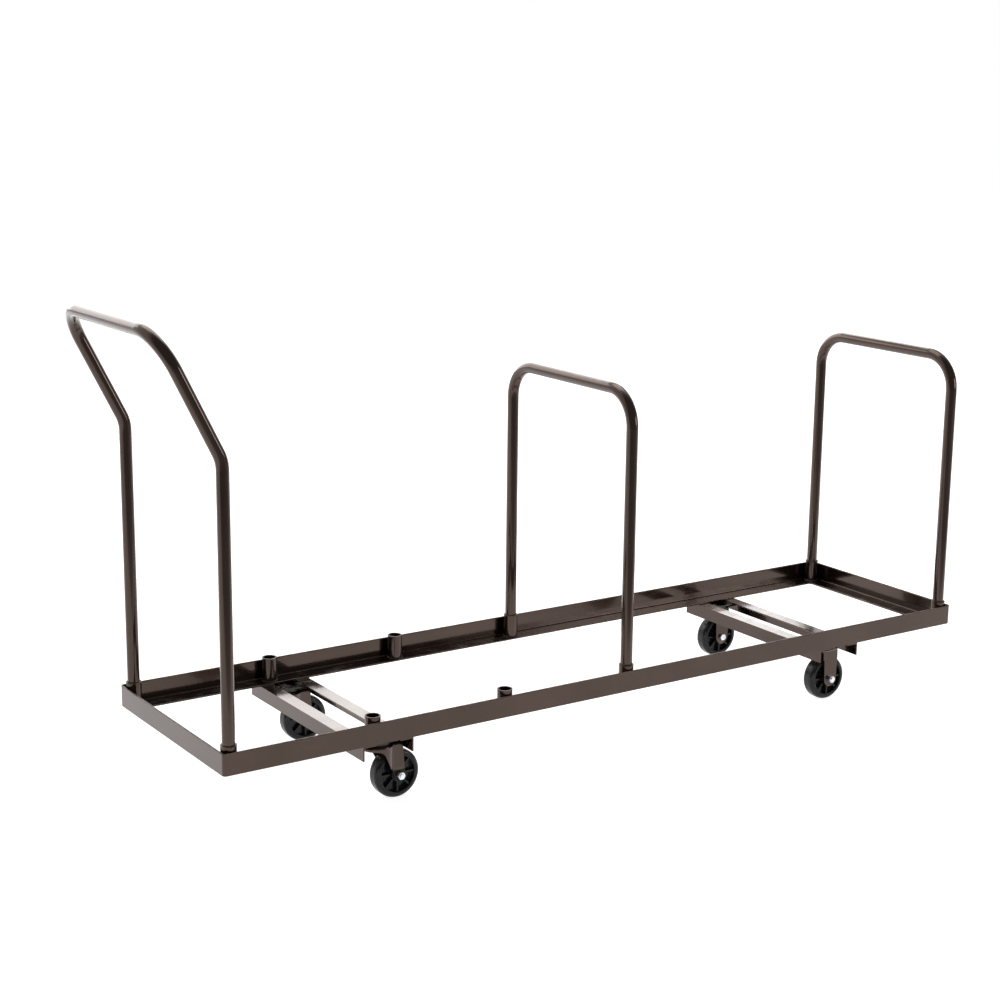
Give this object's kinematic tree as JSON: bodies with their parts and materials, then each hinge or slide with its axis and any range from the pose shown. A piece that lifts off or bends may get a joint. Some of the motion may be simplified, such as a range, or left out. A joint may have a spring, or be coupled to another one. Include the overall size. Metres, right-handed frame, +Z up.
{
  "type": "chair dolly",
  "caption": "Long low angle-steel tray dolly on swivel and rigid casters, with a bent tube push handle and lift-out hoops in sockets, for moving folded chairs on edge.",
  "frame": {"origin": "on the floor under the middle of the overall length and width, handle overhang included", "axes": "+X along the tray from the handle end to the nose end, +Y to the left when pushing, +Z up"},
  "size_m": [2.0162, 0.4826, 0.9807],
  "materials": {
    "frame_paint": "semi-gloss brown enamel",
    "tube_paint": "gloss brown enamel",
    "caster_paint": "brown enamel",
    "wheel_black": "moulded black",
    "zinc": "bright zinc plate",
    "ball_steel": "polished and greased",
    "bush_plastic": "natural nylon"
  },
  "bodies": {
    "frame": {"right_side_rail": "frame_paint", "left_side_rail": "frame_paint", "handle_end_rail": "frame_paint", "nose_end_rail": "frame_paint", "handle_cross_angle_outer": "frame_paint", "handle_cross_angle_inner": "frame_paint", "nose_cross_angle_outer": "frame_paint", "nose_cross_angle_inner": "frame_paint", "right_handle_socket": "frame_paint", "left_handle_socket": "frame_paint", "right_socket_1": "frame_paint", "left_socket_1": "frame_paint", "right_socket_2": "frame_paint", "left_socket_2": "frame_paint", "right_middle_socket": "frame_paint", "left_middle_socket": "frame_paint", "right_nose_socket": "frame_paint", "left_nose_socket": "frame_paint", "right_swivel_plate": "caster_paint", "right_king_pin": "zinc", "right_rigid_plate": "caster_paint", "right_rigid_fork": "caster_paint", "right_rigid_axle_bolt": "zinc", "right_rigid_axle_nut": "zinc", "right_rigid_axle_sleeve": "zinc", "left_swivel_plate": "caster_paint", "left_king_pin": "zinc", "left_rigid_plate": "caster_paint", "left_rigid_fork": "caster_paint", "left_rigid_axle_bolt": "zinc", "left_rigid_axle_nut": "zinc", "left_rigid_axle_sleeve": "zinc"},
    "push_handle": {"push_handle": "tube_paint"},
    "middle_hoop": {"middle_hoop": "tube_paint"},
    "nose_hoop": {"nose_hoop": "tube_paint"},
    "right_swivel": {"right_swivel_fork": "caster_paint", "right_upper_balls": "ball_steel", "right_lower_balls": "ball_steel", "right_swivel_axle_bolt": "zinc", "right_swivel_axle_nut": "zinc", "right_swivel_axle_sleeve": "zinc"},
    "left_swivel": {"left_swivel_fork": "caster_paint", "left_upper_balls": "ball_steel", "left_lower_balls": "ball_steel", "left_swivel_axle_bolt": "zinc", "left_swivel_axle_nut": "zinc", "left_swivel_axle_sleeve": "zinc"},
    "right_swivel_roller": {"right_swivel_wheel": "wheel_black", "right_swivel_bush": "bush_plastic"},
    "right_rigid_roller": {"right_rigid_wheel": "wheel_black", "right_rigid_bush": "bush_plastic"},
    "left_swivel_roller": {"left_swivel_wheel": "wheel_black", "left_swivel_bush": "bush_plastic"},
    "left_rigid_roller": {"left_rigid_wheel": "wheel_black", "left_rigid_bush": "bush_plastic"}
  },
  "joints": [
    {"name": "push_handle_lift", "type": "slide", "parent": "frame", "child": "push_handle", "axis": [0, 0, 1], "range_m": [0, 0.06]},
    {"name": "middle_hoop_lift", "type": "slide", "parent": "frame", "child": "middle_hoop", "axis": [0, 0, 1], "range_m": [0, 0.06]},
    {"name": "nose_hoop_lift", "type": "slide", "parent": "frame", "child": "nose_hoop", "axis": [0, 0, 1], "range_m": [0, 0.06]},
    {"name": "right_swivel_turn", "type": "hinge", "parent": "frame", "child": "right_swivel", "pos_m": [-0.54129, -0.1933, 0.1318], "axis": [0, 0, 1], "continuous": true},
    {"name": "left_swivel_turn", "type": "hinge", "parent": "frame", "child": "left_swivel", "pos_m": [-0.54129, 0.1933, 0.1318], "axis": [0, 0, 1], "continuous": true},
    {"name": "right_swivel_wheel_spin", "type": "hinge", "parent": "right_swivel", "child": "right_swivel_roller", "pos_m": [-0.50129, -0.1933, 0.0508], "axis": [0, 1, 0], "continuous": true},
    {"name": "right_rigid_wheel_spin", "type": "hinge", "parent": "frame", "child": "right_rigid_roller", "pos_m": [0.65251, -0.1933, 0.0508], "axis": [0, 1, 0], "continuous": true},
    {"name": "left_swivel_wheel_spin", "type": "hinge", "parent": "left_swivel", "child": "left_swivel_roller", "pos_m": [-0.50129, 0.1933, 0.0508], "axis": [0, 1, 0], "continuous": true},
    {"name": "left_rigid_wheel_spin", "type": "hinge", "parent": "frame", "child": "left_rigid_roller", "pos_m": [0.65251, 0.1933, 0.0508], "axis": [0, 1, 0], "continuous": true}
  ]
}
